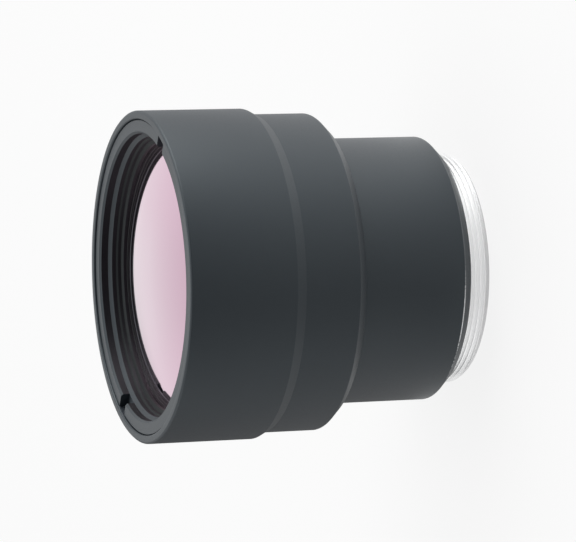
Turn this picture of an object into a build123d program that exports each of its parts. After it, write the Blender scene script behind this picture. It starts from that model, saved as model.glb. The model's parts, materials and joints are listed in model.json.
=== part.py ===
from build123d import *
import math
import os

# A fixed long-wave infrared lens. Sizes are in millimetres and every piece is turned about Z.
# The lens stands on the end of its mount thread with its front element up.
# A depth is measured along the axis from the front rim back towards the mount.
# The bores follow from the elements, and the outside diameters from the bores and walls.

# Front element and the rings that hold it
front_lens_diameter = 42.0
front_lens_front_radius = 60.0
front_lens_rear_radius = 100.0
front_lens_thickness = 5.9
front_lens_land = 1.6
front_ring_length = 2.4
front_ring_recess = 0.3
front_ring_outset = 1.75
front_ring_overlap = 0.3
front_ring_bevel = 0.3
front_ring_cone = 0.5
front_slot_width = 2.5
front_slot_depth = 1.3
front_slip_length = 1.4
front_slip_bevel = 0.25
front_slip_cone_depth = 0.7
front_slip_cone_length = 0.25
front_slip_flange_gap = 0.45
front_slip_flange_length = 0.6

# Light baffle and aperture stop
baffle_length = 14.9
baffle_seat_gap = 0.2
baffle_front_wall = 1.1
baffle_front_gap = 0.3
baffle_stop_overhang = 1.0
baffle_groove_depth = 0.6
baffle_groove_count = 12
baffle_end_land = 0.8
stop_thickness = 0.3
stop_width = 5.0

# Mount ring
mount_thread = 34.0
mount_wall = 1.6
mount_projection = 3.4
mount_engagement = 3.4
mount_end_chamfer = 0.4
mount_bore_chamfer = 0.5
mount_relief_depth = 0.5
mount_relief_inside = 0.4
mount_relief_outside = 0.1

# Rear cell, which slides in through the mount thread
cell_step = 0.5
cell_wall = 1.0
cell_web = 2.2
cell_edge_break = 0.3
shim_thickness = 0.3
shim_width = 1.7

# The two elements in the cell
rear_group_inset = 0.6
rear_group_land = 1.0
rear_group_slot_width = 1.6
rear_group_slot_depth = 0.8
middle_lens_front_radius = 90.0
middle_lens_rear_radius = 38.0
middle_lens_thickness = 2.2
middle_ring_length = 1.4
middle_ring_recess = 0.2
rear_lens_front_radius = 32.0
rear_lens_rear_radius = 45.0
rear_lens_thickness = 4.2
rear_slip_length = 1.2
rear_ring_length = 1.4
rear_ring_recess = 0.5

# Barrel walls and outside stations
front_wall = 1.25
first_step = 0.85
rear_wall = 2.4
front_length = 15.7
bevel_length = 1.6
rim_break = 0.25
shoulder_setback = 2.45
shoulder_chamfer = 1.4
rear_chamfer = 1.4
web_thickness = 2.0

# Clearances, each on the radius, and thread ends
thread_clearance = 0.03
lens_clearance = 0.05
sliding_clearance = 0.03
thread_lead_in = 0.15
front_thread_runout = 1.1
cell_thread_runout = 0.4

# Small forms shared by all elements
washer_thickness = 0.15
washer_width = 0.8
lens_bevel = 0.3
ring_break = 0.15
seal_cord = 1.0
seal_squeeze = 0.1
groove_spare = 0.4


def sag(curvature_radius, radius):
    return curvature_radius - math.sqrt(curvature_radius**2 - radius**2)


def edge_thickness(centre, front_radius, rear_radius, clear):
    """Rim thickness of a meniscus whose two faces both bulge forward."""
    return centre - sag(front_radius, clear / 2) + sag(rear_radius, clear / 2)


# Diameters that follow from the front element
front_lens_clear = front_lens_diameter - 2 * front_lens_land
front_lens_bore = front_lens_diameter + 2 * lens_clearance
front_ring_thread = front_lens_diameter + 2 * front_ring_outset
front_thread_bore = front_ring_thread + 2 * thread_clearance
front_ring_bore = front_lens_diameter - 2 * front_ring_overlap
front_ring_inner_bore = front_ring_bore - 2 * front_ring_cone
front_slip_bore = front_ring_inner_bore - 2 * front_slip_bevel
front_slip_flange = front_ring_thread - 2 * front_slip_flange_gap
front_diameter = front_ring_thread + 2 * front_wall
middle_diameter = front_diameter - 2 * first_step
baffle_diameter = front_lens_clear - 2 * baffle_seat_gap
baffle_bore = baffle_diameter + 2 * sliding_clearance
baffle_front_bore = baffle_diameter - 2 * baffle_front_wall
stop_aperture = baffle_diameter - 2 * stop_width
baffle_rear_bore = stop_aperture + 2 * baffle_stop_overhang

# Diameters that follow from the mount thread
rear_diameter = mount_thread + 2 * rear_wall
mount_thread_bore = mount_thread + 2 * thread_clearance
mount_bore = mount_thread - 2 * mount_wall
cell_diameter = mount_thread - 2 * cell_step
cell_bore = cell_diameter + 2 * lens_clearance
cell_thread = cell_diameter - 2 * cell_wall
cell_thread_bore = cell_thread + 2 * thread_clearance
rear_group_diameter = cell_thread - 2 * rear_group_inset
rear_group_bore = rear_group_diameter + 2 * lens_clearance
rear_group_clear = rear_group_diameter - 2 * rear_group_land
web_bore = cell_diameter - 2 * shim_width

# Seals and their grooves
seal_height = seal_cord * (1 - seal_squeeze)
groove_width = seal_cord + groove_spare
front_groove_diameter = front_lens_diameter + 2 * seal_height
rear_groove_diameter = rear_group_diameter + 2 * seal_height
cell_groove_diameter = cell_bore - 2 * seal_height

# Rim thickness of each element
front_edge = edge_thickness(
    front_lens_thickness, front_lens_front_radius, front_lens_rear_radius, front_lens_clear
)
middle_edge = edge_thickness(
    middle_lens_thickness, middle_lens_front_radius, middle_lens_rear_radius, rear_group_clear
)
rear_edge = edge_thickness(
    rear_lens_thickness, rear_lens_front_radius, rear_lens_rear_radius, rear_group_clear
)

# The stack from the front rim to the mount, each piece bearing on the next
front_slip_depth = front_ring_recess + front_ring_length
front_lens_depth = front_slip_depth + front_slip_length
front_washer_depth = front_lens_depth + front_edge
front_seat_depth = front_washer_depth + washer_thickness
baffle_depth = front_seat_depth + baffle_front_gap
stop_depth = baffle_depth + baffle_length
web_depth = stop_depth + stop_thickness
shim_depth = web_depth + web_thickness
cell_depth = shim_depth + shim_thickness
middle_ring_depth = cell_depth + middle_ring_recess
middle_lens_depth = middle_ring_depth + middle_ring_length
middle_washer_depth = middle_lens_depth + middle_edge
cell_web_depth = middle_washer_depth + washer_thickness
rear_washer_depth = cell_web_depth + cell_web
rear_lens_depth = rear_washer_depth + washer_thickness
rear_slip_depth = rear_lens_depth + rear_edge
rear_ring_depth = rear_slip_depth + rear_slip_length
cell_end_depth = rear_ring_depth + rear_ring_length + rear_ring_recess
barrel_length = cell_end_depth + mount_engagement
overall_length = barrel_length + mount_projection

# Stations that follow from the stack
bevel_depth = front_length + bevel_length
shoulder_depth = web_depth + shoulder_setback
front_thread_end = front_slip_depth + front_thread_runout
mount_thread_start = cell_end_depth - cell_edge_break
front_groove_depth = front_lens_depth + (front_edge - groove_width) / 2
rear_groove_depth = rear_lens_depth + (rear_edge - groove_width) / 2
cell_groove_depth = cell_web_depth + (cell_web - groove_width) / 2


def station(diameter, depth):
    """A point of a turned outline in the plane of the axis."""
    return (diameter / 2, overall_length - depth)


def turned(outline):
    """One turned solid from a closed outline of (diameter, depth) corners."""
    corners = [station(diameter, depth) for diameter, depth in outline]
    return revolve(Plane.XZ * make_face(Polyline(*corners, close=True)), Axis.Z)


def barrel():
    outside = [
        (front_thread_bore + 2 * thread_lead_in, 0),
        (front_diameter - 2 * rim_break, 0),
        (front_diameter, rim_break),
        (front_diameter, front_length),
        (middle_diameter, bevel_depth),
        (middle_diameter, shoulder_depth - shoulder_chamfer),
        (middle_diameter - 2 * shoulder_chamfer, shoulder_depth),
        (rear_diameter, shoulder_depth),
        (rear_diameter, barrel_length - rear_chamfer),
        (rear_diameter - 2 * rear_chamfer, barrel_length),
    ]
    rear_bores = [
        (mount_thread_bore + 2 * thread_lead_in, barrel_length),
        (mount_thread_bore, barrel_length - thread_lead_in),
        (mount_thread_bore, mount_thread_start),
        (cell_bore, mount_thread_start),
        (cell_bore, shim_depth),
        (web_bore, shim_depth),
        (web_bore, web_depth),
    ]
    front_bores = [
        (baffle_bore, web_depth),
        (baffle_bore, front_seat_depth),
        (front_lens_bore, front_seat_depth),
        (front_lens_bore, front_groove_depth + groove_width),
        (front_groove_diameter, front_groove_depth + groove_width),
        (front_groove_diameter, front_groove_depth),
        (front_lens_bore, front_groove_depth),
        (front_lens_bore, front_thread_end),
        (front_thread_bore, front_thread_end),
        (front_thread_bore, thread_lead_in),
    ]
    return turned(outside + rear_bores + front_bores)


def threaded_ring(thread, bore, length, depth):
    """A retaining ring with broken edges, before its spanner slots are cut.

    Its bore is a list of (diameter, depth) corners from the rear end to the front.
    """
    outside = [
        (thread - 2 * ring_break, depth),
        (thread, depth + ring_break),
        (thread, depth + length - ring_break),
        (thread - 2 * ring_break, depth + length),
    ]
    return turned(outside + bore)


def straight_bore(bore, length, depth):
    return [
        (bore + 2 * ring_break, depth + length),
        (bore, depth + length - ring_break),
        (bore, depth + ring_break),
        (bore + 2 * ring_break, depth),
    ]


def spanner_slots(thread, width, start, end):
    """One bar across the ring between two depths, which cuts both opposite slots."""
    return Pos(0, 0, overall_length - (start + end) / 2) * Box(thread, width, end - start)


def front_retaining_ring():
    """The ring whose bore narrows by a cone that begins level with the slot floors."""
    slot_floor = front_ring_recess + front_slot_depth
    bore = [
        (front_ring_inner_bore, front_slip_depth),
        (front_ring_inner_bore, slot_floor + front_ring_cone),
        (front_ring_bore, slot_floor),
        (front_ring_bore, front_ring_recess + front_ring_bevel),
        (front_ring_bore + 2 * front_ring_bevel, front_ring_recess),
    ]
    ring = threaded_ring(front_ring_thread, bore, front_ring_length, front_ring_recess)
    return ring - spanner_slots(front_ring_thread, front_slot_width, front_ring_recess, slot_floor)


def middle_retaining_ring():
    bore = straight_bore(rear_group_clear, middle_ring_length, middle_ring_depth)
    ring = threaded_ring(cell_thread, bore, middle_ring_length, middle_ring_depth)
    slot_floor = middle_ring_depth + rear_group_slot_depth
    return ring - spanner_slots(cell_thread, rear_group_slot_width, middle_ring_depth, slot_floor)


def rear_retaining_ring():
    bore = straight_bore(rear_group_clear, rear_ring_length, rear_ring_depth)
    ring = threaded_ring(cell_thread, bore, rear_ring_length, rear_ring_depth)
    ring_end = rear_ring_depth + rear_ring_length
    slot_floor = ring_end - rear_group_slot_depth
    return ring - spanner_slots(cell_thread, rear_group_slot_width, slot_floor, ring_end)


def front_slip_ring():
    """The ring that presses on the front element: a flange, and a bore that narrows to a lip."""
    flange_end = front_slip_depth + front_slip_flange_length
    cone_depth = front_slip_depth + front_slip_cone_depth
    return turned(
        [
            (front_ring_inner_bore, front_slip_depth),
            (front_slip_flange, front_slip_depth),
            (front_slip_flange, flange_end),
            (front_lens_diameter, flange_end),
            (front_lens_diameter, front_lens_depth),
            (front_lens_clear, front_lens_depth),
            (front_lens_clear, cone_depth + front_slip_cone_length),
            (front_slip_bore, cone_depth),
            (front_slip_bore, front_slip_depth + front_slip_bevel),
        ]
    )


def washer(outer, inner, thickness, depth):
    return turned([(inner, depth), (outer, depth), (outer, depth + thickness), (inner, depth + thickness)])


def seat_washer(lens_diameter, depth):
    return washer(lens_diameter, lens_diameter - 2 * washer_width, washer_thickness, depth)


def meniscus(diameter, clear, front_radius, rear_radius, edge, land_depth):
    """An element whose polished faces bulge forward inside two flat lands and a bevelled rim."""
    rear_land_depth = land_depth + edge

    def on_face(curvature_radius, face_diameter, rim_depth):
        rise = sag(curvature_radius, clear / 2) - sag(curvature_radius, face_diameter / 2)
        return station(face_diameter, rim_depth - rise)

    front_face = ThreePointArc(
        on_face(front_radius, 0, land_depth),
        on_face(front_radius, clear / 2, land_depth),
        on_face(front_radius, clear, land_depth),
    )
    rear_face = ThreePointArc(
        on_face(rear_radius, clear, rear_land_depth),
        on_face(rear_radius, clear / 2, rear_land_depth),
        on_face(rear_radius, 0, rear_land_depth),
    )
    rim = Polyline(
        station(clear, land_depth),
        station(diameter - 2 * lens_bevel, land_depth),
        station(diameter, land_depth + lens_bevel),
        station(diameter, rear_land_depth - lens_bevel),
        station(diameter - 2 * lens_bevel, rear_land_depth),
        station(clear, rear_land_depth),
    )
    outline = front_face + rim + rear_face + Line(rear_face @ 1, front_face @ 0)
    return revolve(Plane.XZ * make_face(outline), Axis.Z)


def front_lens():
    return meniscus(
        front_lens_diameter,
        front_lens_clear,
        front_lens_front_radius,
        front_lens_rear_radius,
        front_edge,
        front_lens_depth,
    )


def middle_lens():
    return meniscus(
        rear_group_diameter,
        rear_group_clear,
        middle_lens_front_radius,
        middle_lens_rear_radius,
        middle_edge,
        middle_lens_depth,
    )


def rear_lens():
    return meniscus(
        rear_group_diameter,
        rear_group_clear,
        rear_lens_front_radius,
        rear_lens_rear_radius,
        rear_edge,
        rear_lens_depth,
    )


def o_ring(inner, outer, groove_depth):
    """An O-ring that reaches from its groove floor to the wall it seals."""
    middle_radius, middle_height = station((inner + outer) / 2, groove_depth + groove_width / 2)
    section = Pos(middle_radius, middle_height) * Circle((outer - inner) / 4)
    return revolve(Plane.XZ * section, Axis.Z)


def light_baffle():
    """A sleeve whose tapering bore is cut into sharp rings that trap stray light."""
    pitch = (baffle_length - 2 * baffle_end_land) / baffle_groove_count
    narrowing = (baffle_front_bore - baffle_rear_bore) / baffle_groove_count
    bore = [(baffle_front_bore, baffle_depth)]
    for groove in range(baffle_groove_count):
        edge_bore = baffle_front_bore - groove * narrowing
        edge_depth = baffle_depth + baffle_end_land + groove * pitch
        bore.append((edge_bore, edge_depth))
        bore.append((edge_bore + 2 * baffle_groove_depth, edge_depth + pitch / 2))
    bore.append((baffle_rear_bore, stop_depth - baffle_end_land))
    bore.append((baffle_rear_bore, stop_depth))
    outside = [(baffle_diameter, stop_depth), (baffle_diameter, baffle_depth)]
    return turned(bore + outside)


def rear_cell():
    """The cell for the two rear elements, with a web between them and a seal groove outside."""
    middle_thread_end = middle_lens_depth + cell_thread_runout
    rear_thread_end = rear_ring_depth - cell_thread_runout
    outside = [
        (cell_thread_bore, cell_depth),
        (cell_diameter - 2 * cell_edge_break, cell_depth),
        (cell_diameter, cell_depth + cell_edge_break),
        (cell_diameter, cell_groove_depth),
        (cell_groove_diameter, cell_groove_depth),
        (cell_groove_diameter, cell_groove_depth + groove_width),
        (cell_diameter, cell_groove_depth + groove_width),
        (cell_diameter, cell_end_depth - cell_edge_break),
        (cell_diameter - 2 * cell_edge_break, cell_end_depth),
    ]
    rear_bores = [
        (cell_thread_bore, cell_end_depth),
        (cell_thread_bore, rear_thread_end),
        (rear_group_bore, rear_thread_end),
        (rear_group_bore, rear_groove_depth + groove_width),
        (rear_groove_diameter, rear_groove_depth + groove_width),
        (rear_groove_diameter, rear_groove_depth),
        (rear_group_bore, rear_groove_depth),
        (rear_group_bore, rear_washer_depth),
        (rear_group_clear, rear_washer_depth),
    ]
    front_bores = [
        (rear_group_clear, cell_web_depth),
        (rear_group_bore, cell_web_depth),
        (rear_group_bore, middle_thread_end),
        (cell_thread_bore, middle_thread_end),
    ]
    return turned(outside + rear_bores + front_bores)


def mount_ring():
    """The mount ring, left plain at the major diameter of its fine thread, with a thread relief."""
    relief_diameter = mount_thread - 2 * mount_relief_depth
    relief_start = barrel_length - mount_relief_inside
    relief_end = barrel_length + mount_relief_outside
    outline = [
        (mount_bore + 2 * mount_bore_chamfer, overall_length),
        (mount_thread - 2 * mount_end_chamfer, overall_length),
        (mount_thread, overall_length - mount_end_chamfer),
        (mount_thread, relief_end),
        (relief_diameter, relief_end),
        (relief_diameter, relief_start),
        (mount_thread, relief_start),
        (mount_thread, cell_end_depth + mount_end_chamfer),
        (mount_thread - 2 * mount_end_chamfer, cell_end_depth),
        (mount_bore, cell_end_depth),
        (mount_bore, overall_length - mount_bore_chamfer),
    ]
    return turned(outline)


parts = {
    "barrel": barrel(),
    "front_retaining_ring": front_retaining_ring(),
    "front_slip_ring": front_slip_ring(),
    "front_lens": front_lens(),
    "front_lens_seal": o_ring(front_lens_diameter, front_groove_diameter, front_groove_depth),
    "front_seat_washer": seat_washer(front_lens_diameter, front_washer_depth),
    "light_baffle": light_baffle(),
    "aperture_stop": washer(baffle_diameter, stop_aperture, stop_thickness, stop_depth),
    "back_focus_shim": washer(cell_diameter, web_bore, shim_thickness, shim_depth),
    "rear_cell": rear_cell(),
    "cell_seal": o_ring(cell_groove_diameter, cell_bore, cell_groove_depth),
    "middle_retaining_ring": middle_retaining_ring(),
    "middle_lens": middle_lens(),
    "middle_seat_washer": seat_washer(rear_group_diameter, middle_washer_depth),
    "rear_seat_washer": seat_washer(rear_group_diameter, rear_washer_depth),
    "rear_lens": rear_lens(),
    "rear_lens_seal": o_ring(rear_group_diameter, rear_groove_diameter, rear_groove_depth),
    "rear_slip_ring": washer(rear_group_diameter, rear_group_clear, rear_slip_length, rear_slip_depth),
    "rear_retaining_ring": rear_retaining_ring(),
    "mount_ring": mount_ring(),
}

os.makedirs("parts", exist_ok=True)
for name, part in parts.items():
    part.label = name
    export_step(part, f"parts/{name}.step")
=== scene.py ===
import json
from math import atan, cos, pi, radians, sin, sqrt

import bpy
from mathutils import Matrix, Vector


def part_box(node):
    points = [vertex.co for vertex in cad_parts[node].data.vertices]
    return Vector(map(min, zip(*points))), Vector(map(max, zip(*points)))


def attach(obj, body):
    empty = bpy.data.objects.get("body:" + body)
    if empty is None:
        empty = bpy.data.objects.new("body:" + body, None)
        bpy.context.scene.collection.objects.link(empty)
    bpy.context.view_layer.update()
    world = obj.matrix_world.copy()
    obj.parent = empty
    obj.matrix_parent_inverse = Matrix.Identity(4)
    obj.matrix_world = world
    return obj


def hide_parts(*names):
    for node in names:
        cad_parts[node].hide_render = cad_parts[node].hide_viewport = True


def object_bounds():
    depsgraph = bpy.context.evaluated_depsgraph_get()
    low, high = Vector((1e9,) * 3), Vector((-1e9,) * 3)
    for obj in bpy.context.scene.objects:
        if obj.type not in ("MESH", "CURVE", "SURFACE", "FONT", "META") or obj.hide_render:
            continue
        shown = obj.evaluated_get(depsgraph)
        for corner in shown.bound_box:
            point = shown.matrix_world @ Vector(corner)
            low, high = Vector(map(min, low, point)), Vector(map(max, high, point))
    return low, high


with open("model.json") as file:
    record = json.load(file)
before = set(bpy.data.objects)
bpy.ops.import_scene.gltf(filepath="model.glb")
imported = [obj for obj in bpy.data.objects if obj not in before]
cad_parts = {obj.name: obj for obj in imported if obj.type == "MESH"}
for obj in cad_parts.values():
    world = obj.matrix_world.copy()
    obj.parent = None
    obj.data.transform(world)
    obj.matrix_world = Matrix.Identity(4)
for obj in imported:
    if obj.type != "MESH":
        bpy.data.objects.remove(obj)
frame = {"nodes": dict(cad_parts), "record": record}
cad_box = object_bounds()

# The lens stands on the end of its mount ring, its front element up, and the picture is taken from
# the side and a little above with the camera turned on its side, so the lens lies across the frame.
# Lengths are written in millimetres and turned into metres by mm.
mm = 0.001
rim_height = cad_box[1].z
picture_width = 576
picture_height = 542
focal_pixels = 3711.7
rim_centre_x = 139.0
rim_centre_y = 277.42
rim_distance = 533.94 * mm

# As the camera sees it, the front points to the left, leans towards the camera and dips a little.
# The spanner slots are turned about the axis, from the camera's side towards the lamp's side.
front_lean = radians(19.55)
front_dip = radians(1.829)
slot_angle = radians(59)
viewer = Vector((0, 0, 1))
front_seen = Vector((-cos(front_lean) * cos(front_dip), -sin(front_dip), sin(front_lean) * cos(front_dip)))
towards = (viewer - front_seen * front_seen.z).normalized()
upwards = front_seen.cross(towards)
slots_seen = towards * cos(slot_angle) + upwards * sin(slot_angle)
camera_turn = Matrix((slots_seen, front_seen.cross(slots_seen), front_seen))

# The camera's place follows from where the middle of the front rim lies in the picture.
rim_seen = Vector(
    (
        (rim_centre_x - picture_width / 2) / focal_pixels,
        (picture_height / 2 - rim_centre_y) / focal_pixels,
        -1,
    )
)
camera_place = Vector((0, 0, rim_height)) - camera_turn @ rim_seen * rim_distance
camera_data = bpy.data.cameras.new("camera")
camera_data.sensor_fit = "HORIZONTAL"
camera_data.angle = 2 * atan(picture_width / 2 / focal_pixels)
camera_data.clip_start = 10 * mm
camera = bpy.data.objects.new("camera", camera_data)
camera.matrix_world = Matrix.Translation(camera_place) @ camera_turn.to_4x4()
bpy.context.scene.collection.objects.link(camera)
bpy.context.scene.camera = camera
bpy.context.scene.view_settings.view_transform = "Standard"


# The studio is a white room. The camera sees its floor and walls as plain white. In reflections the
# floor is brighter on the lamp's side and darker on the other, which gives the long dark body its
# shading, and the air on the camera's side is dim, as the open side of a light tent is.
class Wire:
    """One output in a tree of shader nodes. Sums on it become Math nodes."""

    def __init__(self, tree, socket=None):
        self.tree = tree
        self.socket = socket

    def node(self, kind, settings=None, inputs=None, output=0):
        """Adds a node, sets it, fills or links its inputs, and returns one of its outputs."""
        made = self.tree.nodes.new(kind)
        for name, value in (settings or {}).items():
            if name == "stops":
                ramp = made.color_ramp.elements
                while len(ramp) < len(value):
                    ramp.new(1)
                for stop, (place, colour) in zip(ramp, value):
                    stop.position = place
                    stop.color = (*colour, 1)
            else:
                setattr(made, name, value)
        for name, value in (inputs or {}).items():
            if isinstance(value, Wire):
                self.tree.links.new(value.socket, made.inputs[name])
            else:
                made.inputs[name].default_value = value
        return Wire(self.tree, made.outputs[output] if made.outputs else None)

    def maths(self, operation, *values):
        """Adds a Math node that works on the values."""
        return self.node("ShaderNodeMath", {"operation": operation}, dict(enumerate(values)))

    def __add__(self, other):
        return self.maths("ADD", self, other)

    def __radd__(self, other):
        return self.maths("ADD", other, self)

    def __sub__(self, other):
        return self.maths("SUBTRACT", self, other)

    def __rsub__(self, other):
        return self.maths("SUBTRACT", other, self)

    def __mul__(self, other):
        return self.maths("MULTIPLY", self, other)

    def __rmul__(self, other):
        return self.maths("MULTIPLY", other, self)

    def __pow__(self, other):
        return self.maths("POWER", self, other)

    def __abs__(self):
        return self.maths("ABSOLUTE", self)


def seen_directly(tree):
    """1 for what the camera or a reflection sees, 0 for the light that falls on a surface."""
    outputs = ("Is Camera Ray", "Is Glossy Ray", "Is Transmission Ray")
    straight, mirrored, through = (tree.node("ShaderNodeLightPath", output=name) for name in outputs)
    return tree.maths("MAXIMUM", straight, tree.maths("MAXIMUM", mirrored, through))


def smooth_step(value, low, high):
    """Rises softly from 0 to 1 while the value goes from low to high."""
    limits = {"Value": value, "From Min": low, "From Max": high}
    return value.node("ShaderNodeMapRange", {"interpolation_type": "SMOOTHSTEP"}, limits)


def part_along(vector, direction):
    """How far the vector reaches along the direction, times the direction's length."""
    return vector.node(
        "ShaderNodeVectorMath", {"operation": "DOT_PRODUCT"}, {0: vector, 1: direction}, output="Value"
    )


def own_place(tree):
    """Where a point of a piece lies, in metres."""
    return tree.node("ShaderNodeTexCoord", output="Object")


# The places that shaders read are in metres, and in_mm turns them into millimetres.
in_mm = 1000
up = Vector((0, 0, 1))
lamp_side = camera_turn @ upwards
camera_side = camera_turn @ towards

# In reflections the air is dim round the camera's side, and low down opposite the lamp. Each pair of
# limits holds the cosines of the angles, from that side or from straight up, where the tone changes.
ambient = 0.35
paper_white = 0.96
dimmed_share = 0.75
open_side_limits = (0.4, 0.8)
low_side_limits = (-0.1, 0.45)
low_height_limits = (0.04, 0.28)
world = bpy.data.worlds.new("studio")
bpy.context.scene.world = world
world.use_nodes = True
world.node_tree.nodes.clear()
air = Wire(world.node_tree)
heading = air.node("ShaderNodeTexCoord", output="Generated")
open_side = smooth_step(part_along(heading, camera_side), *open_side_limits)
low_side = smooth_step(part_along(heading, -lamp_side), *low_side_limits)
low_side *= 1 - smooth_step(part_along(heading, up), *low_height_limits)
glossy = air.node("ShaderNodeLightPath", output="Is Glossy Ray")
air_colour = paper_white * (1 - air.maths("MAXIMUM", open_side, low_side) * glossy * dimmed_share)
white_air = air.node("ShaderNodeBackground", inputs={"Color": air_colour, "Strength": 1})
dim_air = air.node("ShaderNodeBackground", inputs={"Color": (1, 1, 1, 1), "Strength": ambient})
air_mix = air.node("ShaderNodeMixShader", inputs={0: seen_directly(air), 1: dim_air, 2: white_air})
air.node("ShaderNodeOutputWorld", inputs={"Surface": air_mix})

# The floor lies a hair below the lens, so that no face of the two coincides.
floor_half_size = 3
floor_gap = 0.02 * mm
bpy.ops.object.select_all(action="DESELECT")
bpy.ops.mesh.primitive_plane_add(size=2 * floor_half_size, location=(0, 0, -floor_gap))
floor = bpy.context.object
floor.name = "floor"
bpy.ops.object.transform_apply(location=True, rotation=True, scale=True)

# Each bearing of the reflected floor has its tone: the bearing is in degrees from the camera's side,
# and the lamp's side is at 90. That is the tone far out. Near the lens the floor is reflected white,
# and the foot, which the lens itself keeps dark, is grey. The limits are in millimetres.
bearings = [(-180, 0.1), (-155, 0.05), (-120, 0.4), (-90, 0.8), (-60, 1.0), (-15, 0.6), (20, 1.1)]
bearings += [(45, 1.65), (70, 2.0), (100, 1.5), (125, 1.0), (155, 0.6), (180, 0.3)]
brightest = 2.0
foot_tone = 0.5
foot_limits = (17.6, 18.2)
near_tone = 1.12
far_limits = (25, 29)
matte_tone = 0.9
shadow_share = 0.12
floor_paint = bpy.data.materials.new("pale_floor")
floor_paint.use_nodes = True
floor_paint.node_tree.nodes.clear()
ground = Wire(floor_paint.node_tree)
across = part_along(own_place(ground), lamp_side)
along = part_along(own_place(ground), camera_side)
bearing = ground.maths("ARCTAN2", across, along) * (0.5 / pi) + 0.5
bearing_stops = [((angle + 180) / 360, (tone / brightest,) * 3) for angle, tone in bearings]
far_tone = ground.node("ShaderNodeValToRGB", {"stops": bearing_stops}, {"Fac": bearing}) * brightest
from_axis = (across * across + along * along) ** 0.5 * in_mm
close_tone = foot_tone + (near_tone - foot_tone) * smooth_step(from_axis, *foot_limits)
reflected_tone = close_tone + smooth_step(from_axis, *far_limits) * (far_tone - close_tone)
glossy = ground.node("ShaderNodeLightPath", output="Is Glossy Ray")
floor_tone = paper_white + glossy * (reflected_tone - paper_white)
glow = ground.node("ShaderNodeEmission", inputs={"Color": floor_tone, "Strength": 1})
matte = ground.node("ShaderNodeBsdfDiffuse", inputs={"Color": (matte_tone, matte_tone, matte_tone, 1)})
glow_share = seen_directly(ground) * (1 - shadow_share)
floor_mix = ground.node("ShaderNodeMixShader", inputs={0: glow_share, 1: matte, 2: glow})
ground.node("ShaderNodeOutputMaterial", inputs={"Surface": floor_mix})
floor.data.materials.append(floor_paint)


def soft_lamp(name, direction, distance, size, power):
    """A round soft box that faces the middle of the lens. Its lengths are in metres."""
    lamp = bpy.data.lights.new(name, "AREA")
    lamp.shape = "DISK"
    lamp.size = size
    lamp.energy = power
    lamp_object = bpy.data.objects.new(name, lamp)
    aim = direction.normalized()
    lamp_object.location = Vector((0, 0, rim_height / 2)) + aim * distance
    lamp_object.rotation_euler = aim.to_track_quat("Z", "Y").to_euler()
    bpy.context.scene.collection.objects.link(lamp_object)


side_lamp_lift = 0.35
front_lamp_shift = 0.3
soft_lamp("key_lamp", lamp_side + up * side_lamp_lift, distance=0.6, size=0.6, power=4.0)
soft_lamp("fill_lamp", -lamp_side + up * side_lamp_lift, distance=0.6, size=0.5, power=0.5)
soft_lamp("front_lamp", up - camera_side * front_lamp_shift, distance=0.7, size=0.6, power=2.6)


# The barrel is one aluminium turning with three outside diameters, anodised a dark blue-grey.
# It is turned here from its outline, and its corners get the small edge breaks of the real one.
# Its finish is satin, with faint turning marks that run round it.
sides = 256
seam_gap = 0.0005 * mm
smooth_below = radians(30)
break_above = radians(25)


def outer_radius(node):
    """Radius of a turned solid, from the narrower side of its box, so that the piece stays inside."""
    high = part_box(node)[1]
    return min(high.x, high.y)


def at_depth(depth):
    """Height of a place that lies this far behind the front rim."""
    return rim_height - depth


def pull(corners, start):
    """Pulls the selected ring of points from corner to corner of an outline of (radius, height)."""
    radius, height = start
    for next_radius, next_height in corners:
        bpy.ops.mesh.extrude_region_move(TRANSFORM_OT_translate={"value": (0, 0, next_height - height)})
        share = next_radius / radius
        bpy.ops.transform.resize(value=(share, share, 1), center_override=(0, 0, next_height))
        radius, height = next_radius, next_height


def open_ring(name, radius, height):
    """A new piece that starts as one ring of points, open for editing."""
    bpy.ops.object.select_all(action="DESELECT")
    bpy.ops.mesh.primitive_circle_add(vertices=sides, radius=radius, location=(0, 0, height))
    bpy.ops.object.transform_apply(location=True, rotation=True, scale=True)
    piece = bpy.context.object
    piece.name = name
    piece.data.name = name
    bpy.ops.object.mode_set(mode="EDIT")
    bpy.ops.mesh.select_all(action="SELECT")
    return piece


def close_piece(piece, edge_break=0):
    """Merges the seams, turns the faces outwards, breaks the sharp edges and smooths the rest."""
    bpy.ops.mesh.select_all(action="SELECT")
    bpy.ops.mesh.remove_doubles(threshold=seam_gap)
    bpy.ops.mesh.normals_make_consistent(inside=False)
    bpy.ops.object.mode_set(mode="OBJECT")
    if edge_break:
        bevel = piece.modifiers.new("edge_break", "BEVEL")
        bevel.width = edge_break
        bevel.segments = 3
        bevel.limit_method = "ANGLE"
        bevel.angle_limit = break_above
        bpy.ops.object.modifier_apply(modifier=bevel.name)
    bpy.ops.object.shade_smooth_by_angle(angle=smooth_below)


def turned(name, outline, edge_break=0):
    """A turned piece from its closed outline of (radius, height) corners."""
    piece = open_ring(name, *outline[0])
    pull(outline[1:] + outline[:1], outline[0])
    close_piece(piece, edge_break)
    return piece


def belongs(piece, slot, *nodes):
    """The piece stands for these solids, which are hidden, and hangs from the root body. The slot is not
    used.
    """
    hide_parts(*nodes)
    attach(piece, "root")


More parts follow.
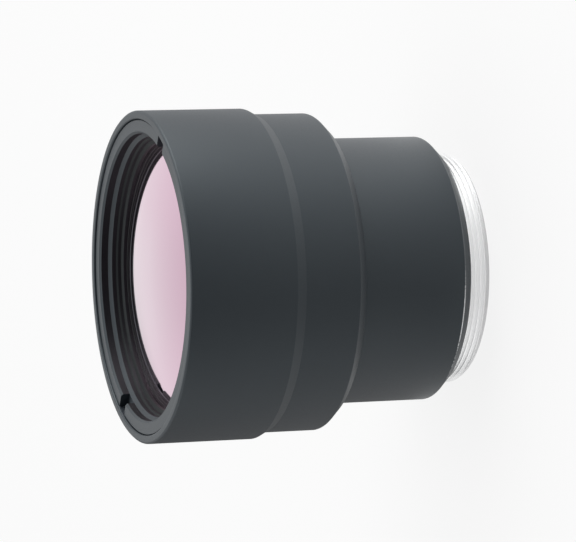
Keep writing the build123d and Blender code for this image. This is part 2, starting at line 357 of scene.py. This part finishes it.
front_radius = outer_radius("barrel")
front_length = 15.7 * mm
first_step = 0.85 * mm
first_step_length = 1.6 * mm
waist_radius = front_radius - first_step
rear_radius = 19.4 * mm
shoulder_depth = 26.78 * mm
chamfer = 1.4 * mm
rim_break = 0.25 * mm
bore_break = 0.15 * mm
corner_break = 0.06 * mm
barrel_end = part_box("barrel")[0].z
ring_thread_bore = 22.78 * mm
ring_thread_depth = 3.8 * mm
lens_bore = 21.05 * mm
seat_depth = 8.83 * mm
baffle_bore = 19.23 * mm
web_bore = 14.8 * mm
web_depth = 24.33 * mm
web_thickness = 2 * mm
cell_bore = 16.55 * mm
cell_top = at_depth(web_depth + web_thickness)
mount_bore = 17.03 * mm
mount_thread_top = barrel_end + 3.7 * mm
barrel_outline = [
    (ring_thread_bore + bore_break, rim_height),
    (front_radius - rim_break, rim_height),
    (front_radius, at_depth(rim_break)),
    (front_radius, at_depth(front_length)),
    (waist_radius, at_depth(front_length + first_step_length)),
    (waist_radius, at_depth(shoulder_depth - chamfer)),
    (waist_radius - chamfer, at_depth(shoulder_depth)),
    (rear_radius, at_depth(shoulder_depth)),
    (rear_radius, barrel_end + chamfer),
    (rear_radius - chamfer, barrel_end),
    (mount_bore + bore_break, barrel_end),
    (mount_bore, barrel_end + bore_break),
    (mount_bore, mount_thread_top),
    (cell_bore, mount_thread_top),
    (cell_bore, cell_top),
    (web_bore, cell_top),
    (web_bore, at_depth(web_depth)),
    (baffle_bore, at_depth(web_depth)),
    (baffle_bore, at_depth(seat_depth)),
    (lens_bore, at_depth(seat_depth)),
    (lens_bore, at_depth(ring_thread_depth)),
    (ring_thread_bore, at_depth(ring_thread_depth)),
    (ring_thread_bore, at_depth(bore_break)),
]
barrel = turned("barrel_turned", barrel_outline, corner_break)
belongs(barrel, "dark_anodised", "barrel")


def new_finish(name):
    """An empty material to wire up."""
    material = bpy.data.materials.new(name)
    material.use_nodes = True
    material.node_tree.nodes.clear()
    return material, Wire(material.node_tree)


def turning_path(tree):
    """Runs along a turned surface at right angles to the tool marks: height plus radius, in mm."""
    place = own_place(tree)
    x, y, z = (tree.node("ShaderNodeSeparateXYZ", inputs={0: place}, output=axis) for axis in "XYZ")
    return ((x * x + y * y) ** 0.5 + z) * in_mm


def noise(tree, vector, spots, detail):
    """Soft random values round 0.5, with so many spots to the vector's unit."""
    return tree.node("ShaderNodeTexNoise", inputs={"Vector": vector, "Scale": spots, "Detail": detail})


def tool_marks(tree, lines):
    """Random lines round a turned surface, as a turning tool leaves them, so many to a millimetre."""
    path = tree.node("ShaderNodeCombineXYZ", inputs={"X": turning_path(tree)})
    return noise(tree, path, lines, detail=2.0)


def mixed_colour(tree, share, first, second):
    """A colour between a first one, which may be a wire, and a second."""
    first = first if isinstance(first, Wire) else (*first, 1)
    # The node's sockets for colours are its inputs 6 and 7 and its output 2.
    colours = {"Factor": share, 6: first, 7: (*second, 1)}
    return tree.node("ShaderNodeMix", {"data_type": "RGBA"}, colours, output=2)


def bumped(tree, height, strength, distance):
    """The surface's direction over a relief of this height."""
    return tree.node("ShaderNodeBump", inputs={"Height": height, "Strength": strength, "Distance": distance})


def finished(tree, colour, roughness, normal=None, metallic=0.0, tint=(1, 1, 1), gloss=0.5):
    """Puts the surface shader on the material."""
    inputs = {"Base Color": colour, "Roughness": roughness, "Metallic": metallic}
    inputs.update({"Specular Tint": (*tint, 1), "Specular IOR Level": gloss})
    if normal is not None:
        inputs["Normal"] = normal
    shader = tree.node("ShaderNodeBsdfPrincipled", inputs=inputs)
    tree.node("ShaderNodeOutputMaterial", inputs={"Surface": shader})


dark_anodised, tree = new_finish("dark_anodised")
cold_tint = (0.86, 0.96, 1.0)
marks = tool_marks(tree, lines=6.0)
grain = noise(tree, own_place(tree), spots=4000.0, detail=2.0)
cloud = noise(tree, own_place(tree), spots=90.0, detail=4.0)

# The rear chamfer's edge is worn through to the metal in a faint thin line all round. On the side turned
# towards the camera, that line is made much brighter as a painted glint. The limits are in millimetres,
# apart from the last pair, which breaks the line up.
rear_edge = (rear_radius + barrel_end + chamfer) * in_mm
edge_limits = (0.05, 0.16)
glint_limits = (16.6, 19.2)
gap_limits = (0.7, 1.1)
worn_round = 0.1
glint_peak_share = 0.85
glint_angle = radians(28)
glint_side = camera_side * cos(glint_angle) - lamp_side * sin(glint_angle)
bare_metal_and_glint = (0.75, 0.76, 0.77)
edge_line = 1 - smooth_step(abs(turning_path(tree) - rear_edge), *edge_limits)
painted_glint = smooth_step(part_along(own_place(tree), glint_side * in_mm), *glint_limits)
wear_and_glint_share = worn_round + (glint_peak_share - worn_round) * painted_glint
wear_and_glint = edge_line * wear_and_glint_share * smooth_step(grain + cloud, *gap_limits)

anodised = mixed_colour(tree, cloud, (0.0095, 0.013, 0.0175), (0.0135, 0.0175, 0.0225))
# Along the edge, bare metal replaces the anodising, both for the wear line and for the painted glint.
anodised_colour = mixed_colour(tree, wear_and_glint, anodised, bare_metal_and_glint)
anodised_roughness = 0.36 + 0.1 * grain + 0.06 * marks
anodised_relief = bumped(tree, 0.5 * marks + 0.5 * grain, strength=0.25, distance=0.004 * mm)
finished(tree, anodised_colour, anodised_roughness, anodised_relief, metallic=wear_and_glint, tint=cold_tint)
barrel.data.materials.append(dark_anodised)


# The front retaining ring screws into the barrel in front of the element. It is an anodised ring
# whose face stands just behind the rim, with two milled slots for a spanner, and a cone level with
# the slot floors narrows its bore. A fine gap shows between its thread and the barrel.
ring_low, ring_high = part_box("front_retaining_ring")
ring_radius = outer_radius("front_retaining_ring")
ring_bore = 20.7 * mm
ring_inner_bore = 20.2 * mm
ring_bevel = 0.3 * mm
ring_break = 0.15 * mm
slot_width = 2.5 * mm
slot_depth = 1.3 * mm
slot_floor = ring_high.z - slot_depth
ring_outline = [
    (ring_bore + ring_bevel, ring_high.z),
    (ring_radius - ring_break, ring_high.z),
    (ring_radius, ring_high.z - ring_break),
    (ring_radius, ring_low.z + ring_break),
    (ring_radius - ring_break, ring_low.z),
    (ring_inner_bore, ring_low.z),
    (ring_inner_bore, slot_floor - (ring_bore - ring_inner_bore)),
    (ring_bore, slot_floor),
    (ring_bore, ring_high.z - ring_bevel),
]
front_ring = turned("front_retaining_ring_turned", ring_outline)

# One cutter mills both slots, so it reaches past the ring at each end, and above its face.
cutter_length = 2.2 * ring_radius
bpy.ops.object.select_all(action="DESELECT")
bpy.ops.mesh.primitive_cube_add(size=1, location=(0, 0, ring_high.z))
slot_cutter = bpy.context.object
slot_cutter.scale = (cutter_length, slot_width, 2 * slot_depth)
bpy.ops.object.transform_apply(location=True, rotation=True, scale=True)


def cut_away(piece, cutter):
    """Takes the cutter's form out of the piece and removes the cutter."""
    bpy.ops.object.select_all(action="DESELECT")
    piece.select_set(True)
    bpy.context.view_layer.objects.active = piece
    cut = piece.modifiers.new("cut", "BOOLEAN")
    cut.operation = "DIFFERENCE"
    cut.solver = "EXACT"
    cut.object = cutter
    bpy.ops.object.modifier_apply(modifier=cut.name)
    bpy.data.objects.remove(cutter)


cut_away(front_ring, slot_cutter)
bpy.ops.object.shade_smooth_by_angle(angle=smooth_below)
belongs(front_ring, "dark_anodised", "front_retaining_ring")

# The bores in front of the element get a darker, duller black than the anodising: painted shade for the deep
# bores.
bore_painted_shade, tree = new_finish("bore_painted_shade")
bore_marks = tool_marks(tree, lines=9.0)
bore_grain = noise(tree, own_place(tree), spots=3000.0, detail=2.0)
bore_shade_colour = mixed_colour(tree, bore_grain, (0.003, 0.0034, 0.004), (0.006, 0.0066, 0.0075))
bore_roughness = 0.42 + 0.12 * bore_marks
bore_relief = bumped(tree, 0.6 * bore_marks + 0.4 * bore_grain, strength=0.3, distance=0.004 * mm)
finished(tree, bore_shade_colour, bore_roughness, bore_relief, tint=cold_tint, gloss=0.2)
front_ring.data.materials.append(dark_anodised)
front_ring.data.materials.append(bore_painted_shade)
# The faces of the ring's bore that look towards the axis take the painted shade.
facing_axis = -0.9
shaded_within = ring_bore + 0.05 * mm
for face in front_ring.data.polygons:
    outwards = face.center.to_2d().normalized().dot(face.normal.to_2d())
    if outwards < facing_axis and face.center.to_2d().length < shaded_within:
        face.material_index = 1


# The slip ring lies between the retaining ring and the element, so that tightening doesn't turn
# the glass. Its bore has a bevel in front, and a cone down to the lip that bears on the element.
# It is made of the same aluminium, and takes the bores' painted shade all over.
slip_low, slip_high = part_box("front_slip_ring")
slip_flange_radius = 22.3 * mm
slip_flange_length = 0.6 * mm
slip_radius = 21 * mm
slip_bore = 19.95 * mm
slip_lip_bore = 19.4 * mm
slip_bevel = 0.25 * mm
slip_cone_depth = 0.7 * mm
slip_cone_length = 0.25 * mm
slip_corner_break = 0.02 * mm
slip_outline = [
    (slip_bore + slip_bevel, slip_high.z),
    (slip_flange_radius, slip_high.z),
    (slip_flange_radius, slip_high.z - slip_flange_length),
    (slip_radius, slip_high.z - slip_flange_length),
    (slip_radius, slip_low.z),
    (slip_lip_bore, slip_low.z),
    (slip_lip_bore, slip_high.z - slip_cone_depth - slip_cone_length),
    (slip_bore, slip_high.z - slip_cone_depth),
    (slip_bore, slip_high.z - slip_bevel),
]
slip_ring = turned("front_slip_ring_turned", slip_outline, slip_corner_break)
belongs(slip_ring, "dark_anodised", "front_slip_ring")
slip_ring.data.materials.append(bore_painted_shade)


# The front element is a germanium meniscus, held between the slip ring and its seat. Its hard
# antireflection coating looks pale pink and mirrors the room, because the metal-like crystal lets
# no visible light through.
lens_radius = outer_radius("front_lens")
lens_clear = 19.4 * mm
lens_bevel = 0.3 * mm
lens_front_curve = 60 * mm
lens_rear_curve = 100 * mm
land_high = slip_low.z
land_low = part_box("front_lens")[0].z
polish_rings = 40
pole_radius = 1e-6 * mm


def sag(curve, radius):
    """How far a spherical face falls from its middle to this radius."""
    return curve - sqrt(curve * curve - radius * radius)


def polished(curve, edge_height):
    """Rings of a spherical face that bulges upwards, from its edge to its middle."""
    for ring in range(1, polish_rings + 1):
        radius = max(lens_clear * (1 - ring / polish_rings), pole_radius)
        yield radius, edge_height + sag(curve, lens_clear) - sag(curve, radius)


# The front face is pulled from the rim to the middle, and then the rear one from the same rim.
lens_rim = (lens_radius, land_high - lens_bevel)
lens_front = [(lens_radius - lens_bevel, land_high), (lens_clear, land_high)]
lens_front += polished(lens_front_curve, land_high)
lens_rear = [(lens_radius, land_low + lens_bevel), (lens_radius - lens_bevel, land_low)]
lens_rear += [(lens_clear, land_low), *polished(lens_rear_curve, land_low)]
front_element = open_ring("front_lens_polished", *lens_rim)
pull(lens_front, lens_rim)
bpy.ops.mesh.select_all(action="DESELECT")
bpy.ops.mesh.select_mode(type="EDGE")
bpy.ops.mesh.select_non_manifold(extend=False, use_boundary=True)
bpy.ops.object.mode_set(mode="OBJECT")
for open_edge in front_element.data.edges:
    ends = [front_element.data.vertices[index].co for index in open_edge.vertices]
    open_edge.select = open_edge.select and all(end.to_2d().length > lens_clear for end in ends)
bpy.ops.object.mode_set(mode="EDIT")
bpy.ops.mesh.select_mode(type="VERT")
pull(lens_rear, lens_rim)
close_piece(front_element)
belongs(front_element, "coated_germanium", "front_lens")

# Seen square on, the coating is a deeper pink than seen aslant. A paler middle band, across the lamp's side,
# is a painted reflection of the bright room. Away from that band, whose limits are in millimetres, the
# coating is pinker, and it is also pinker in soft patches of haze.
coat_stops = [
    (0.2, (0.48, 0.31, 0.4)),
    (0.34, (0.62, 0.42, 0.52)),
    (0.54, (0.75, 0.6, 0.68)),
    (1, (0.79, 0.67, 0.72)),
]
deep_pink = (0.74, 0.5, 0.62)
reflection_band_offset = 1.5
reflection_band_limits = (3, 15)
haze_limits = (0.5, 0.8)
coated_germanium, tree = new_finish("coated_germanium")
haze = noise(tree, own_place(tree), spots=60.0, detail=3.0)
tilt = tree.node("ShaderNodeLayerWeight", inputs={"Blend": 0.35}, output="Facing")
coat_clean = tree.node("ShaderNodeValToRGB", {"stops": coat_stops}, {"Fac": tilt})
off_reflection_band = abs(part_along(own_place(tree), lamp_side * in_mm) + reflection_band_offset)
haze_and_reflection_pink = 0.5 * smooth_step(off_reflection_band, *reflection_band_limits) + 0.2 * smooth_step(haze, *haze_limits)
coat_colour = mixed_colour(tree, haze_and_reflection_pink, coat_clean, deep_pink)
finished(tree, coat_colour, 0.02 + 0.03 * haze, metallic=1.0)
front_element.data.materials.append(coated_germanium)


# The mount ring is a bare aluminium ring screwed into the barrel's rear end, where it also clamps
# the rear cell. Its outside carries the fine camera thread, 34 mm across with 0.75 mm of pitch.
# A relief groove at the barrel's end parts that thread from the one inside the barrel.
mount_low, mount_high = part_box("mount_ring")
mount_radius = outer_radius("mount_ring")
mount_ring_bore = 15.4 * mm
end_chamfer = 0.4 * mm
bore_chamfer = 0.5 * mm
relief_radius = 16.5 * mm
relief_low = barrel_end - 0.1 * mm
relief_high = barrel_end + 0.4 * mm
mount_outline = [
    (mount_ring_bore + bore_chamfer, mount_low.z),
    (mount_radius - end_chamfer, mount_low.z),
    (mount_radius, mount_low.z + end_chamfer),
    (mount_radius, relief_low),
    (relief_radius, relief_low),
    (relief_radius, relief_high),
    (mount_radius, relief_high),
    (mount_radius, mount_high.z - end_chamfer),
    (mount_radius - end_chamfer, mount_high.z),
    (mount_ring_bore, mount_high.z),
    (mount_ring_bore, mount_low.z + bore_chamfer),
]
mount = turned("mount_ring_threaded", mount_outline)

# The thread is cut as a chaser cuts it: the tool's section goes up the ring in a right-hand screw,
# and runs out in the relief groove.
pitch = 0.75 * mm
turns = 6
steps_to_a_turn = 144
thread_depth = 0.46 * mm
tool_spare = 0.04 * mm
tool_width = 0.7 * mm
tool_nose = 0.09 * mm
tool_runout = 0.25 * mm
flank_smooth_below = radians(25)
tool_reach = thread_depth + tool_spare
tool_start = relief_low + tool_runout - turns * pitch
tool_middle = mount_radius - thread_depth + tool_reach / 2
bpy.ops.object.select_all(action="DESELECT")
bpy.ops.mesh.primitive_plane_add(size=1, location=(tool_middle, 0, tool_start), rotation=(radians(90), 0, 0))
tool = bpy.context.object
tool.scale = (tool_reach, tool_width, 1)
bpy.ops.object.transform_apply(location=True, rotation=True, scale=True)
bpy.ops.object.mode_set(mode="EDIT")
bpy.ops.mesh.select_all(action="SELECT")
bpy.ops.mesh.delete(type="ONLY_FACE")
bpy.ops.mesh.select_all(action="DESELECT")
bpy.ops.object.mode_set(mode="OBJECT")
for point in tool.data.vertices:
    point.select = point.co.x < tool_middle
bpy.ops.object.mode_set(mode="EDIT")
bpy.ops.transform.resize(value=(1, 1, tool_nose / tool_width), center_override=(0, 0, tool_start))
bpy.ops.object.mode_set(mode="OBJECT")
screw = tool.modifiers.new("screw", "SCREW")
screw.screw_offset = pitch
screw.iterations = turns
screw.steps = screw.render_steps = steps_to_a_turn
screw.use_smooth_shade = False
bpy.ops.object.modifier_apply(modifier=screw.name)
bpy.ops.object.mode_set(mode="EDIT")
bpy.ops.mesh.select_all(action="SELECT")
bpy.ops.mesh.fill_holes(sides=0)
bpy.ops.mesh.normals_make_consistent(inside=False)
bpy.ops.object.mode_set(mode="OBJECT")
cut_away(mount, tool)
bpy.ops.object.shade_smooth_by_angle(angle=flank_smooth_below)
belongs(mount, "bare_aluminium", "mount_ring")

bare_aluminium, tree = new_finish("bare_aluminium")
marks = tool_marks(tree, lines=10.0)
metal_colour = mixed_colour(tree, marks, (0.88, 0.885, 0.89), (0.95, 0.95, 0.95))
metal_relief = bumped(tree, marks, strength=0.2, distance=0.003 * mm)
finished(tree, metal_colour, 0.3 + 0.12 * marks, metal_relief, metallic=1.0)
mount.data.materials.append(bare_aluminium)


# Inside are the baffle, the stop, the cell and its rings in blackened aluminium, a steel shim, two
# more elements, rubber O-rings, and washers of amber film under the elements. Their solids have the
# true shapes already, so here each only gets its finish.
blackened_aluminium, tree = new_finish("blackened_aluminium")
black_grain = noise(tree, own_place(tree), spots=2500.0, detail=2.0)
black_colour = mixed_colour(tree, black_grain, (0.008, 0.008, 0.009), (0.014, 0.014, 0.015))
black_relief = bumped(tree, black_grain, strength=0.3, distance=0.005 * mm)
finished(tree, black_colour, 0.6 + 0.15 * black_grain, black_relief)

seal_rubber, tree = new_finish("seal_rubber")
rubber_grain = noise(tree, own_place(tree), spots=1500.0, detail=2.0)
rubber_colour = mixed_colour(tree, rubber_grain, (0.012, 0.012, 0.012), (0.02, 0.02, 0.02))
rubber_relief = bumped(tree, rubber_grain, strength=0.2, distance=0.01 * mm)
finished(tree, rubber_colour, 0.45 + 0.2 * rubber_grain, rubber_relief)

seat_film, tree = new_finish("seat_film")
film_cloud = noise(tree, own_place(tree), spots=200.0, detail=2.0)
film_colour = mixed_colour(tree, film_cloud, (0.55, 0.28, 0.05), (0.66, 0.36, 0.08))
finished(tree, film_colour, 0.25 + 0.1 * film_cloud)

shim_steel, tree = new_finish("shim_steel")
rolled = noise(tree, own_place(tree), spots=800.0, detail=3.0)
steel_colour = mixed_colour(tree, rolled, (0.5, 0.5, 0.5), (0.62, 0.62, 0.61))
finished(tree, steel_colour, 0.25 + 0.15 * rolled, metallic=1.0)

finishes = {
    "blackened_aluminium": blackened_aluminium,
    "seal_rubber": seal_rubber,
    "seat_film": seat_film,
    "shim_steel": shim_steel,
    "coated_germanium": coated_germanium,
    "bare_aluminium": bare_aluminium,
    "dark_anodised": dark_anodised,
}
for subpart in frame["record"]["subparts"]:
    solid = frame["nodes"][subpart["node"]]
    slot = subpart["material_slot"]
    solid.data.materials.clear()
    solid.data.materials.append(finishes[slot])
